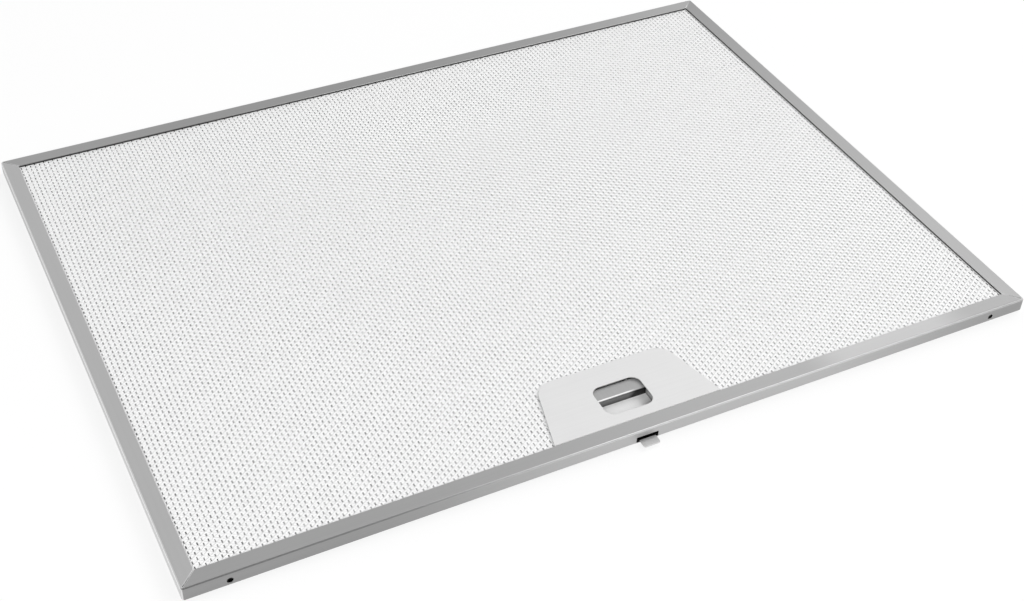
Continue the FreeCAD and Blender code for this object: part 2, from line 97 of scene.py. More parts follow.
def add_block(shape, low, high, turn=0.0):
    """A box between two corners, turned in degrees about the upright line through its middle."""
    middle = (Vector(low) + Vector(high)) / 2
    size = Vector(high) - Vector(low)
    turned = Matrix.Translation(middle) @ Matrix.Rotation(math.radians(turn), 4, "Z")
    bmesh.ops.create_cube(shape, size=1, matrix=turned @ Matrix.Diagonal((*size, 1)))


def add_rod(shape, middle, diameter, length, sides):
    """A round rod along Y."""
    place = Matrix.Translation(middle) @ Matrix.Rotation(math.radians(90), 4, "X")
    bmesh.ops.create_cone(
        shape, cap_ends=True, segments=sides, radius1=diameter / 2, radius2=diameter / 2,
        depth=length, matrix=place,
    )


def new_piece(name, shape):
    """A piece at the origin, made from a finished shape."""
    mesh = bpy.data.meshes.new(name)
    shape.to_mesh(mesh)
    shape.free()
    piece = bpy.data.objects.new(name, mesh)
    bpy.context.scene.collection.objects.link(piece)
    return piece


def settle(piece):
    """Makes what the modifiers give the piece's own mesh."""
    depsgraph = bpy.context.evaluated_depsgraph_get()
    mesh = bpy.data.meshes.new_from_object(piece.evaluated_get(depsgraph))
    piece.modifiers.clear()
    piece.data = mesh


def combine(piece, tool, operation):
    """Cuts a piece with a tool, or keeps what both share."""
    modifier = piece.modifiers.new("tool", "BOOLEAN")
    modifier.operation = operation
    modifier.solver = "EXACT"
    modifier.use_self = True
    modifier.object = tool
    settle(piece)
    bpy.data.objects.remove(tool)


def soften_edges(piece, width):
    """Rounds sharp edges as shears and punches leave them, and keeps flat faces flat."""
    bevel = piece.modifiers.new("edges", "BEVEL")
    bevel.width = width
    bevel.segments = 2
    bevel.limit_method = "ANGLE"
    bevel.angle_limit = rounded_from
    bevel.use_clamp_overlap = False
    settle(piece)
    piece.data.shade_smooth()
    piece.data.set_sharp_from_angle(angle=creased_from)
    weighted = piece.modifiers.new("normals", "WEIGHTED_NORMAL")
    weighted.keep_sharp = True
    settle(piece)


section = [(lip_width, 0.0)]
section += arc((fold_radius, fold_radius), fold_radius, 270, 180, fold_steps)
section += arc((fold_radius, frame_height - fold_radius), fold_radius, 180, 90, fold_steps)
section += [(lip_width, frame_height), (lip_width, frame_height - strip_thickness)]
inner_fold = fold_radius - strip_thickness
section += arc((fold_radius, frame_height - fold_radius), inner_fold, 90, 180, fold_steps)
section += arc((fold_radius, fold_radius), inner_fold, 180, 270, fold_steps)
section += [(lip_width, strip_thickness)]

shape = bmesh.new()
rings = [[shape.verts.new(point) for point in frame_ring(*place)] for place in section]
for ring, following in zip(rings, rings[1:] + rings[:1]):
    for i in range(len(ring)):
        shape.faces.new((ring[i - 1], ring[i], following[i], following[i - 1]))
bmesh.ops.remove_doubles(shape, verts=shape.verts, dist=merge_distance)
bmesh.ops.recalc_face_normals(shape, faces=shape.faces)
frame_strip = new_piece("frame_strip", shape)

cuts = bmesh.new()
mitre_start = corner_radius
mitre_end = lip_width + mitre_gap
mitre_half = (mitre_end - mitre_start) / math.sqrt(2)
for side_x, side_y in corner_sides:
    middle_x = side_x * (half_width - (mitre_start + mitre_end) / 2)
    middle_y = side_y * (half_depth - (mitre_start + mitre_end) / 2)
    low = (middle_x - mitre_half, middle_y - mitre_gap / 2, -past)
    high = (middle_x + mitre_half, middle_y + mitre_gap / 2, frame_height + past)
    add_block(cuts, low, high, 45 * side_x * side_y)
seam_x = half_width - corner_radius
add_block(
    cuts,
    (seam_x - mitre_gap / 2, half_depth - corner_radius, -past),
    (seam_x + mitre_gap / 2, half_depth + past, frame_height + past),
)
slot_low = (-slot_width / 2, -half_depth - past, strip_thickness)
slot_high = (slot_width / 2, -half_depth + past, strip_thickness + slot_height)
add_block(cuts, slot_low, slot_high)
for side in (-1, 1):
    drain = (side * (half_width - drain_inset), -half_depth, drain_height)
    add_rod(cuts, drain, drain_diameter, 2 * past, drain_sides)
combine(frame_strip, new_piece("frame_cuts", cuts), "DIFFERENCE")

tab = bmesh.new()
tab.from_mesh(frame_strip.data)
tab_y = half_depth - strip_thickness
add_block(
    tab,
    (half_width - strip_thickness - seam_tab_length, tab_y - strip_thickness, fold_radius),
    (half_width - strip_thickness, tab_y, frame_height - fold_radius),
)
tab.to_mesh(frame_strip.data)
tab.free()
soften_edges(frame_strip, sheared_edge)


class Wire:
    """A socket of a node tree. Arithmetic on it adds Math nodes."""

    def __init__(self, nodes, socket):
        self.nodes = nodes
        self.socket = socket

    def maths(self, operation, first, second=0.0):
        """A Math node on two values, or on the first alone where the operation takes one."""
        return self.nodes.add("ShaderNodeMath", {"operation": operation}, {0: first, 1: second})

    def __add__(self, other):
        return self.maths("ADD", self, other)

    def __radd__(self, other):
        return self.maths("ADD", other, self)

    def __sub__(self, other):
        return self.maths("SUBTRACT", self, other)

    def __rsub__(self, other):
        return self.maths("SUBTRACT", other, self)

    def __mul__(self, other):
        return self.maths("MULTIPLY", self, other)

    def __rmul__(self, other):
        return self.maths("MULTIPLY", other, self)

    def __gt__(self, other):
        return self.maths("GREATER_THAN", self, other)

    def __abs__(self):
        return self.maths("ABSOLUTE", self)


class Nodes:
    """A node tree that nodes are added to."""

    def __init__(self, tree):
        self.tree = tree

    def connect(self, socket, value):
        """Links a wire to a socket, or sets the socket's own value."""
        if isinstance(value, Wire):
            self.tree.links.new(value.socket, socket)
        else:
            socket.default_value = value

    def add(self, kind, settings, sockets, output=0):
        """A node with its settings, then its sockets' values or links. Gives one of its outputs."""
        node = self.tree.nodes.new(kind)
        for name, setting in settings.items():
            setattr(node, name, setting)
        for key, value in sockets.items():
            self.connect(node.inputs[key], value)
        return Wire(self, node.outputs[output]) if node.outputs else node

    def ease(self, value, low, high):
        """Rises smoothly from 0 at one value to 1 at another."""
        settings = {"interpolation_type": "SMOOTHSTEP"}
        sockets = {"Value": value, "From Min": low, "From Max": high}
        return self.add("ShaderNodeMapRange", settings, sockets)


class Finish(Nodes):
    """A material whose nodes describe a surface, on the piece's own coordinates."""

    def __init__(self, name):
        self.material = bpy.data.materials.new(name)
        self.material.use_nodes = True
        super().__init__(self.material.node_tree)
        self.shader = self.tree.nodes["Principled BSDF"]
        self.place = self.add("ShaderNodeTexCoord", {}, {}, "Object")

    def along(self, axis):
        """The place of a point along X, Y or Z, in metres."""
        return self.add("ShaderNodeSeparateXYZ", {}, {0: self.place}, axis)

    def facing(self, axis):
        """How far the surface faces along X, Y or Z, from -1 to 1."""
        normal = self.add("ShaderNodeNewGeometry", {}, {}, "Normal")
        return self.add("ShaderNodeSeparateXYZ", {}, {0: normal}, axis)

    def noise(self, scale, detail=3.0):
        """Noise with its own scale along each axis, in cells per metre."""
        stretched = self.add("ShaderNodeMapping", {}, {"Vector": self.place, "Scale": scale})
        return self.add("ShaderNodeTexNoise", {}, {"Vector": stretched, "Scale": 1.0, "Detail": detail})

    def mix(self, share, first, second):
        """A colour between two colours."""
        return self.add("ShaderNodeMix", {"data_type": "RGBA"}, {0: share, 6: first, 7: second}, 2)

    def relief(self, height, depth):
        """The normal of a surface that a height from 0 to 1 raises by a depth in metres."""
        sockets = {"Height": height, "Distance": depth, "Strength": 1.0}
        return self.add("ShaderNodeBump", {}, sockets, "Normal")

    def surface(self, **values):
        """Sets the shader's sockets, named in words joined by underscores."""
        for name, value in values.items():
            self.connect(self.shader.inputs[name.replace("_", " ").title()], value)


def grey(level):
    """A neutral metal tone."""
    return (level, level, level, 1.0)


def dress(piece, finish):
    """Gives a piece one material all over."""
    piece.data.materials.clear()
    piece.data.materials.append(finish.material)


along_streak = 6.0
across_streak = 900.0
streak_depth = 0.004 * MM
strip_dark = grey(0.28)
strip_bright = grey(0.94)
strip_aluminium = Finish("strip_aluminium")
place_x = strip_aluminium.along("X")
place_y = strip_aluminium.along("Y")
from_mitre = (abs(place_y) - half_depth) - (abs(place_x) - half_width)
on_long_rail = from_mitre > 0
streaks_x = strip_aluminium.noise((along_streak, across_streak, across_streak))
streaks_y = strip_aluminium.noise((across_streak, along_streak, across_streak))
streaks = on_long_rail * streaks_x + (1 - on_long_rail) * streaks_y
clouds = strip_aluminium.noise((14.0, 14.0, 14.0), detail=2.0)
tone = streaks * 0.5 + clouds * 0.5

# Painted light in the strip's colour: the front wall is lighter round the latch, painted shade darkens
# its ends, and a painted highlight lies on the front lip on the right. Painted highlights run along the
# edges and mitres, weaker at the right mitres. Painted shade darkens the back of the left wall and the
# middle of the back rail. The left rail is painted lighter, and the right one takes painted shade
# towards the back.
plain_shine = 0.28
grain_shine = 0.16
edge_highlight_gain = 0.56
mitre_highlight_gain = 0.74
right_mitre_highlight_loss = 0.22
front_lip_highlight_gain = 0.2
front_lip_highlight_middle = 145.0 * MM
front_end_shade_depth = 0.28
left_wall_shade_depth = 0.24
back_rail_shade_depth = 0.1
side_rail_lift = 0.08
shade_rightward = 0.62
shade_backward = 0.6
turned_side = (0.2, 0.5)
turned_up = (0.92, 0.99)
leaving_wall = (0.05, 0.3)
mitre_highlight_reach = (0.3 * MM, 0.8 * MM)
front_lip_highlight_fade = (25.0 * MM, 55.0 * MM)
left_end_fade = (-155.0 * MM, -5.0 * MM)
right_end_fade = (95.0 * MM, 245.0 * MM)
back_rail_fade = (80.0 * MM, half_width)

on_right = place_x > 0
on_front = on_long_rail * (0 - place_y > 0)
on_back = on_long_rail * (place_y > 0)
front_side = strip_aluminium.ease(0 - strip_aluminium.facing("Y"), *turned_side)
left_side = strip_aluminium.ease(0 - strip_aluminium.facing("X"), *turned_side)
flatness = abs(strip_aluminium.facing("Z"))
flat = strip_aluminium.ease(flatness, *turned_up)
edge_highlight = strip_aluminium.ease(flatness, *leaving_wall) * (1 - flat)
mitre_highlight = 1 - strip_aluminium.ease(abs(from_mitre), *mitre_highlight_reach)
front_lip_highlight = on_front * flat * (1 - strip_aluminium.ease(abs(place_x - front_lip_highlight_middle), *front_lip_highlight_fade))
left_end_shade = front_side * (1 - strip_aluminium.ease(place_x, *left_end_fade))
right_end_shade = front_side * strip_aluminium.ease(place_x, *right_end_fade)
left_wall_shade = left_side * strip_aluminium.ease(place_y, -half_depth, half_depth)
back_rail_shade = on_back * (1 - strip_aluminium.ease(abs(place_x), *back_rail_fade))
rail_shade = place_x * shade_rightward - side_rail_lift + on_right * place_y * shade_backward
painted_highlights = edge_highlight * (1 - left_end_shade) * edge_highlight_gain + front_lip_highlight * front_lip_highlight_gain
painted_highlights = painted_highlights + mitre_highlight * (mitre_highlight_gain - on_right * right_mitre_highlight_loss)
frame_painted_shade = (left_end_shade + right_end_shade) * front_end_shade_depth + left_wall_shade * left_wall_shade_depth
frame_painted_shade = frame_painted_shade + back_rail_shade * back_rail_shade_depth + (1 - on_long_rail) * rail_shade
tone_and_painted_light = plain_shine + tone * grain_shine + painted_highlights - frame_painted_shade
strip_tone = strip_aluminium.mix(tone_and_painted_light, strip_dark, strip_bright)

# Painted shade darkens the inside of the channel.
shade_fade = 0.3 * MM
shade_dark = grey(0.06)
place_z = strip_aluminium.along("Z")
inside = strip_aluminium.ease(half_width - abs(place_x), shade_fade, strip_thickness)
inside = inside * strip_aluminium.ease(half_depth - abs(place_y), shade_fade, strip_thickness)
inside = inside * strip_aluminium.ease(place_z, shade_fade, strip_thickness)
inside = inside * strip_aluminium.ease(frame_height - place_z, shade_fade, strip_thickness)
strip_aluminium.surface(
    base_color=strip_aluminium.mix(inside, strip_tone, shade_dark),
    metallic=1.0,
    roughness=0.30 + tone * 0.16,
    normal=strip_aluminium.relief(streaks, streak_depth),
)
dress(frame_strip, strip_aluminium)
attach(frame_strip, "filter")
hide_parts("frame")

# The two outer sheets: expanded aluminium, slit and stretched into a lattice of diamonds.
# Strands run straight through the bonds where rows of diamonds meet. The sheets are cut
# round the latch tray, and their edges lie loose in the channel of the frame.
diamond_length = 5.13 * MM
diamond_width = 3.17 * MM
strand_width = 1.06 * MM
strand_height = 0.28 * MM
strand_tilt = math.radians(3)
strand_step = 30.0 * MM
bond_length = 4.55 * MM
bond_width = 1.35 * MM
bond_height = 0.3 * MM
bond_spread = 0.04
bond_seed = 7
notch_half = 21.5 * MM
notch_back = -124.5 * MM


def strand_runs(offset, slope, half_x, half_y):
    """The stretches of a straight strand that lie in the sheet, as pairs of X places."""
    reach = half_y / abs(slope)
    first = max(-half_x, offset - reach)
    last = min(half_x, offset + reach)
    crossing = offset + notch_back / slope
    cut_first = -notch_half if slope > 0 else max(-notch_half, crossing)
    cut_last = min(notch_half, crossing) if slope > 0 else notch_half
    runs = [(first, last)]
    if max(cut_first, first) < min(cut_last, last):
        runs = [(first, cut_first), (cut_last, last)]
    return [(a, b) for a, b in runs if b - a > strand_width]


def lattice_plan(name, half_x, half_y, level):
    """A line for each strand and a loose point for each bond of one sheet."""
    plan = bmesh.new()
    steepness = diamond_width / diamond_length
    count = math.ceil(half_x / diamond_length + half_y / diamond_width)
    for slope in (steepness, -steepness):
        for i in range(-count, count + 1):
            offset = i * diamond_length
            for run in strand_runs(offset, slope, half_x, half_y):
                plan.edges.new([plan.verts.new((x, slope * (x - offset), level)) for x in run])
    rows = math.ceil(2 * half_y / diamond_width)
    columns = math.ceil(half_x / diamond_length)
    for row in range(-rows, rows + 1):
        y = row * diamond_width / 2
        for column in range(-columns, columns + 1):
            x = (column + row % 2 / 2) * diamond_length
            in_sheet = abs(x) < half_x - bond_length / 2 and abs(y) < half_y - bond_width / 2
            in_notch = abs(x) < notch_half + bond_length / 2 and y < notch_back + bond_width / 2
            if in_sheet and not in_notch:
                plan.verts.new((x, y, level))
    return new_piece(name, plan)


def new_tree(name, sizes):
    """A geometry nodes tree, and the wires of its inputs: a mesh, named sizes and a finish."""
    tree = bpy.data.node_groups.new(name, "GeometryNodeTree")
    kinds = {"Geometry": "Geometry", **sizes, "Finish": "Material"}
    for input_name, kind in kinds.items():
        tree.interface.new_socket(input_name, in_out="INPUT", socket_type=f"NodeSocket{kind}")
    tree.interface.new_socket("Geometry", in_out="OUTPUT", socket_type="NodeSocketGeometry")
    nodes = Nodes(tree)
    given = nodes.add("NodeGroupInput", {}, {}).socket.node.outputs
    return nodes, {socket.name: Wire(nodes, socket) for socket in given if socket.name}


def end_tree(nodes, geometry, finish):
    """Ends a tree with plain geometry in one finish."""
    placed = nodes.add("GeometryNodeRealizeInstances", {}, {"Geometry": geometry})
    dressed = nodes.add("GeometryNodeSetMaterial", {}, {"Geometry": placed, "Material": finish})
    nodes.add("NodeGroupOutput", {}, {0: dressed})
    return nodes.tree


def expanded_metal_tree():
    """Geometry nodes that sweep a strand along each line and put a bond on each loose point.

    A bond is a three-sided bar along X, one unit in size, with a flat side outward.
    """
    strand_sizes = ("Strand Width", "Strand Height", "Strand Tilt", "Strand Step")
    bond_sizes = ("Bond Length", "Bond Width", "Bond Height", "Bond Turn")
    nodes, size = new_tree("expanded_metal", dict.fromkeys(strand_sizes + bond_sizes, "Float"))

    lines = nodes.add("GeometryNodeMeshToCurve", {}, {"Mesh": size["Geometry"]})
    level_lines = nodes.add("GeometryNodeSetCurveNormal", {"mode": "Z_UP"}, {"Curve": lines})
    short_steps = nodes.add(
        "GeometryNodeResampleCurve", {"mode": "LENGTH"},
        {"Curve": level_lines, "Length": size["Strand Step"]},
    )
    flat_section = nodes.add(
        "GeometryNodeCurvePrimitiveQuadrilateral", {},
        {"Width": size["Strand Width"], "Height": size["Strand Height"]},
    )
    tilt = nodes.add("ShaderNodeCombineXYZ", {}, {"Z": size["Strand Tilt"]})
    strand_section = nodes.add("GeometryNodeTransform", {}, {"Geometry": flat_section, "Rotation": tilt})
    strands = nodes.add(
        "GeometryNodeCurveToMesh", {},
        {"Curve": short_steps, "Profile Curve": strand_section, "Fill Caps": True},
    )

    neighbours = nodes.add("GeometryNodeInputMeshVertexNeighbors", {}, {})
    loose = nodes.add(
        "FunctionNodeCompare", {"data_type": "INT", "operation": "EQUAL"}, {"A": neighbours, "B": 0}
    )
    wedge = nodes.add("GeometryNodeMeshCylinder", {}, {"Vertices": 3, "Radius": 1.0, "Depth": 1.0})
    lying = nodes.add(
        "GeometryNodeTransform", {},
        {"Geometry": wedge, "Rotation": (0.0, math.radians(90), 0.0)},
    )
    bond = nodes.add(
        "GeometryNodeTransform", {},
        {"Geometry": lying, "Translation": (0.0, 0.0, 1 / 6), "Scale": (1.0, 1 / math.sqrt(3), 2 / 3)},
    )
    bond_size = nodes.add(
        "ShaderNodeCombineXYZ", {},
        {"X": size["Bond Length"], "Y": size["Bond Width"], "Z": size["Bond Height"]},
    )
    uneven = nodes.add(
        "FunctionNodeRandomValue", {"data_type": "FLOAT"},
        {2: 1 - bond_spread, 3: 1 + bond_spread, "Seed": bond_seed}, 1,
    )
    scale = nodes.add("ShaderNodeVectorMath", {"operation": "SCALE"}, {0: bond_size, "Scale": uneven})
    turn = nodes.add("ShaderNodeCombineXYZ", {}, {"X": size["Bond Turn"]})
    bonds = nodes.add(
        "GeometryNodeInstanceOnPoints", {},
        {
            "Points": size["Geometry"], "Selection": loose,
            "Instance": bond, "Rotation": turn, "Scale": scale,
        },
    )
    joined = nodes.add("GeometryNodeJoinGeometry", {}, {"Geometry": strands})
    nodes.connect(joined.socket.node.inputs["Geometry"], bonds)
    return end_tree(nodes, joined, size["Finish"])


def grow(piece, tree, values):
    """Runs a geometry nodes tree on a piece, with its inputs named, and keeps the mesh."""
    modifier = piece.modifiers.new(tree.name, "NODES")
    modifier.node_group = tree
    for item in tree.interface.items_tree:
        if item.in_out == "INPUT" and item.name in values:
            modifier[item.identifier] = values[item.name]
    settle(piece)


def under_lips(finish, spread):
    """1 under the frame's lips, where painted shade darkens the sheets, and 0 a spread inside them."""
    beyond_x = abs(finish.along("X")) - (half_width - lip_width)
    beyond_y = abs(finish.along("Y")) - (half_depth - lip_width)
    return finish.ease(beyond_x, -spread, shade_fade) + finish.ease(beyond_y, -spread, shade_fade)


expanded_aluminium = Finish("expanded_aluminium")
strand_marks = expanded_aluminium.noise((500.0, 500.0, 500.0), detail=1.0)
strand_tone = expanded_aluminium.mix(strand_marks, grey(0.86), grey(0.93))
# Painted shade darkens the sheet under the frame's lips.
expanded_aluminium.surface(
    base_color=expanded_aluminium.mix(under_lips(expanded_aluminium, shade_fade), strand_tone, shade_dark),
    metallic=0.05,
    roughness=0.40 + strand_marks * 0.2,
)
expanded_metal = expanded_metal_tree()
strand_rise = (strand_height * math.cos(strand_tilt) + strand_width * math.sin(strand_tilt)) / 2
for node, outward in (("back_mesh", -1), ("face_mesh", 1)):
    low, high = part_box(node)
    outer_level = high.z if outward > 0 else low.z
    plan = lattice_plan(f"{node}_lattice", high.x, high.y, outer_level - outward * strand_rise)
    grow(plan, expanded_metal, {
        "Strand Width": strand_width,
        "Strand Height": strand_height,
        "Strand Tilt": strand_tilt * outward,
        "Strand Step": strand_step,
        "Bond Length": bond_length,
        "Bond Width": bond_width,
        "Bond Height": bond_height,
        "Bond Turn": 0.0 if outward > 0 else math.pi,
        "Finish": expanded_aluminium.material,
    })
    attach(plan, "filter")
    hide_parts(node)

# The three inner sheets: thin slit aluminium foil, crimped so that the layers keep their
# distance and the grease meets crossing waves. They lie loose between the outer sheets.
shade_reach = 2.2 * MM
crimped_foil = Finish("crimped_foil")
foil_marks = crimped_foil.noise((800.0, 800.0, 800.0), detail=1.0)
foil_tone = crimped_foil.mix(foil_marks, grey(0.94), grey(0.99))
# Painted shade darkens the foil under the frame's lips and a little way inside them.
crimped_foil.surface(
    base_color=crimped_foil.mix(under_lips(crimped_foil, shade_reach), foil_tone, shade_dark),
    metallic=0.0,
    roughness=0.40 + foil_marks * 0.25,
)
for node in ("inner_mesh_lower", "inner_mesh_middle", "inner_mesh_upper"):
    dress(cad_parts[node], crimped_foil)

# The tray: thin galvanised steel, pressed into a shallow channel that guides the slider.
# Its two side flanges are spot-welded under the cover plate.
pressed_steel = Finish("pressed_steel")
drawn_lines = pressed_steel.noise((1200.0, 30.0, 1200.0))
spangle = pressed_steel.noise((120.0, 120.0, 120.0), detail=2.0)
tone = drawn_lines * 0.4 + spangle * 0.6
tray_tone = pressed_steel.mix(tone, grey(0.52), grey(0.66))
# Painted shade darkens the tray under the frame's lips.
pressed_steel.surface(
    base_color=pressed_steel.mix(under_lips(pressed_steel, shade_fade), tray_tone, shade_dark),
    metallic=0.4,
    roughness=0.32 + tone * 0.2,
    normal=pressed_steel.relief(drawn_lines, 0.006 * MM),
)
dress(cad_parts["latch_tray"], pressed_steel)

# The return springs: two short coils of bright drawn wire, held on pegs between the slider's
# back lip and the back wall of the tray. Drawing the slider back squeezes them.
wire_diameter = 0.35 * MM
spring_turns = 6.5
turn_steps = 32
wire_sides = 10


def coil_tree():
    """Geometry nodes that coil a wire along Y, from a first end at the top of the coil."""
    lengths = dict.fromkeys(("Turns", "Coil Radius", "Length", "Wire Radius"), "Float")
    nodes, size = new_tree("coil", {**lengths, "Start": "Vector"})
    line = nodes.add("GeometryNodeCurveSpiral", {}, {
        "Resolution": turn_steps,
        "Rotations": size["Turns"],
        "Start Radius": size["Coil Radius"],
        "End Radius": size["Coil Radius"],
        "Height": size["Length"],
        "Reverse": True,
    })
    wire_section = nodes.add(
        "GeometryNodeCurvePrimitiveCircle", {"mode": "RADIUS"},
        {"Resolution": wire_sides, "Radius": size["Wire Radius"]},
    )
    coil = nodes.add(
        "GeometryNodeCurveToMesh", {}, {"Curve": line, "Profile Curve": wire_section, "Fill Caps": True}
    )
    laid = nodes.add("GeometryNodeTransform", {}, {
        "Geometry": coil,
        "Translation": size["Start"],
        "Rotation": (math.radians(-90), math.radians(-90), 0.0),
    })
    round_wire = nodes.add("GeometryNodeSetShadeSmooth", {}, {"Geometry": laid})
    return end_tree(nodes, round_wire, size["Finish"])


spring_wire = Finish("spring_wire")
wire_marks = spring_wire.noise((2500.0, 2500.0, 2500.0))
spring_wire.surface(
    base_color=spring_wire.mix(wire_marks, grey(0.42), grey(0.62)),
    metallic=1.0,
    roughness=0.22 + wire_marks * 0.16,
)
coiled_wire = coil_tree()
for side in ("left", "right"):
    low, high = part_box(f"latch_spring_{side}")
    middle = (low + high) / 2
    spring = new_piece(f"{side}_spring", bmesh.new())
    grow(spring, coiled_wire, {
        "Turns": spring_turns,
        "Coil Radius": (high.x - low.x - wire_diameter) / 2,
        "Length": high.y - low.y - wire_diameter,
        "Wire Radius": wire_diameter / 2,
        "Start": (middle.x, low.y + wire_diameter / 2, middle.z),
        "Finish": spring_wire.material,
    })
    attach(spring, "filter")
    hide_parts(f"latch_spring_{side}")
    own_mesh(spring)

# The slider: one strip of stainless steel, bent into a floor, a face for the fingertip, a top
# and a back lip. It runs loose in the tray, and its narrow front end is the latch tongue.
slider_low, slider_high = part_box("latch_slider")
slider_half = slider_high.x
slider_sheet = 0.8 * MM
bend_radius = 0.5 * MM
tongue_tip = slider_low.y
tongue_half = 4.5 * MM
tongue_corner = 1.0 * MM
shoulder = -169.3 * MM
finger_front = -155.0 * MM
finger_face = -143.0 * MM
slider_back = -134.2 * MM
spring_spacing = 18.0 * MM
spring_level = 3.95 * MM
peg_diameter = 1.9 * MM
peg_length = 1.4 * MM
peg_sides = 16
bend_steps = 6


def rounded_outline(corners, steps):
    """A closed outline. Each corner is (x, y, radius), and an arc where the radius isn't 0."""
    points = []
    for i, (x, y, radius) in enumerate(corners):
        here = Vector((x, y))
        if radius == 0:
            points.append(here)
            continue
        before = (Vector(corners[i - 1][:2]) - here).normalized()
        after = (Vector(corners[(i + 1) % len(corners)][:2]) - here).normalized()
        half_angle = before.angle(after) / 2
        centre = here + (before + after).normalized() * radius / math.sin(half_angle)
        start = here + before * radius / math.tan(half_angle) - centre
        turn = math.copysign(math.pi - 2 * half_angle, after.cross(before))
        for step in range(steps + 1):
            points.append(centre + Matrix.Rotation(turn * step / steps, 2) @ start)
    return points


def add_prism(shape, points, along):
    """A solid from a closed flat outline of 3-D points, moved along a vector."""
    outline = shape.faces.new([shape.verts.new(point) for point in points])
    swept = bmesh.ops.extrude_face_region(shape, geom=[outline])["geom"]
    moved = [item for item in swept if isinstance(item, bmesh.types.BMVert)]
    bmesh.ops.translate(shape, verts=moved, vec=along)
    bmesh.ops.recalc_face_normals(shape, faces=shape.faces)


bend_outer = bend_radius + slider_sheet
floor_low = slider_low.z
floor_high = floor_low + slider_sheet
top_high = slider_high.z
top_low = top_high - slider_sheet
face_back = finger_face + slider_sheet
lip_front = slider_back - slider_sheet
bend_section = rounded_outline(
    [
        (tongue_tip, floor_low, 0),
        (face_back, floor_low, bend_outer),
        (face_back, top_low, bend_radius),
        (lip_front, top_low, bend_radius),
        (lip_front, floor_high, 0),
        (slider_back, floor_high, 0),
        (slider_back, top_high, bend_outer),
        (finger_face, top_high, bend_outer),
        (finger_face, floor_high, bend_radius),
        (tongue_tip, floor_high, 0),
    ],
    bend_steps,
)
strip_span = 2 * (slider_half + past)
strip = bmesh.new()
add_prism(strip, [(-strip_span / 2, y, z) for y, z in bend_section], (strip_span, 0, 0))
bent_slider = new_piece("bent_slider", strip)
slider_plan = rounded_outline(
    [
        (-tongue_half, tongue_tip, tongue_corner),
        (tongue_half, tongue_tip, tongue_corner),
        (tongue_half, shoulder, 0),
        (slider_half, shoulder, 0),
        (slider_half, slider_back + past, 0),
        (-slider_half, slider_back + past, 0),
        (-slider_half, shoulder, 0),
        (-tongue_half, shoulder, 0),
    ],
    bend_steps,
)
blank = bmesh.new()
add_prism(blank, [(x, y, -past) for x, y in slider_plan], (0, 0, frame_height + 2 * past))
combine(bent_slider, new_piece("slider_blank", blank), "INTERSECT")
pegs = bmesh.new()
pegs.from_mesh(bent_slider.data)
for side in (-1, 1):
    peg = (side * spring_spacing / 2, slider_back + peg_length / 2, spring_level)
    add_rod(pegs, peg, peg_diameter, peg_length, peg_sides)
pegs.to_mesh(bent_slider.data)
pegs.free()
soften_edges(bent_slider, sheared_edge)

bent_steel = Finish("bent_steel")
brush_lines = bent_steel.noise((1500.0, 20.0, 1500.0))
rub_marks = bent_steel.noise((60.0, 60.0, 60.0), detail=2.0)
tone = brush_lines * 0.6 + rub_marks * 0.4

# The floor stays bright. Painted shade darkens the top and the face, less high on the face, and a
# painted highlight lies on the bend between them. Painted shade darkens the floor at the foot of
# the face and the face's right end. The tongue is a little darker outside the front wall and takes
# painted shade behind it, and the back bend is painted lighter under the plate.
floor_shine = 0.84
grain_shine = 0.1
raised_shade_depth = 0.5
face_shade_depth = 0.33
face_top_gain = 0.12
slider_right_shade_depth = 0.2
face_foot_shade_depth = 0.1
tongue_dull = 0.2
slot_shade_depth = 0.95
top_bend_highlight_gain = 0.5
back_bend_light_gain = 0.6
steel_dark = grey(0.015)
steel_bright = grey(1.0)
foot_height = 0.2 * MM
slider_right_shade_fade = (4.0 * MM, 10.0 * MM)
bend_start = (0.1, 0.3)
bend_end = (0.6, 0.8)
turned_front = (0.6, 0.9)

place_y = bent_steel.along("Y")
place_z = bent_steel.along("Z")
facing_front = 0 - bent_steel.facing("Y")
raised = bent_steel.ease(place_z, floor_high, floor_high + foot_height)
upper = bent_steel.ease(place_z, floor_high, top_low)
near_face = bent_steel.ease(place_y, finger_front, finger_face) * (1 - raised)
slider_right_shade = bent_steel.ease(bent_steel.along("X"), *slider_right_shade_fade)
finger_side = raised * bent_steel.ease(facing_front, *turned_front)
on_bend = bent_steel.ease(facing_front, *bend_start) * (1 - bent_steel.ease(facing_front, *bend_end))
top_bend_highlight = bent_steel.ease(place_z, top_low - bend_radius, top_low) * on_bend * (1 - slider_right_shade)
back_bend_light = raised * bent_steel.ease(place_y, slider_back - bend_outer, slider_back - bend_radius)
behind_wall = bent_steel.ease(place_y, -half_depth - shade_fade, -half_depth + shade_fade)
slot_shade = behind_wall * (1 - bent_steel.ease(place_y, finger_front - lip_width, finger_front))
face_shade = finger_side * (face_shade_depth - upper * face_top_gain + slider_right_shade * slider_right_shade_depth)
inner_shade = raised * raised_shade_depth + near_face * face_foot_shade_depth + face_shade
tongue_darkening = (1 - behind_wall) * tongue_dull + slot_shade * slot_shade_depth
bend_light = top_bend_highlight * top_bend_highlight_gain + back_bend_light * back_bend_light_gain
tone_and_painted_light = floor_shine + tone * grain_shine + bend_light - inner_shade - tongue_darkening
bent_steel.surface(
    base_color=bent_steel.mix(tone_and_painted_light, steel_dark, steel_bright),
    metallic=0.6 - raised * 0.2 - near_face * 0.5 + slot_shade * 0.4,
    roughness=0.28 + tone * 0.2,
    normal=bent_steel.relief(brush_lines, 0.004 * MM),
)
dress(bent_slider, bent_steel)
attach(bent_slider, "latch")
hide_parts("latch_slider")

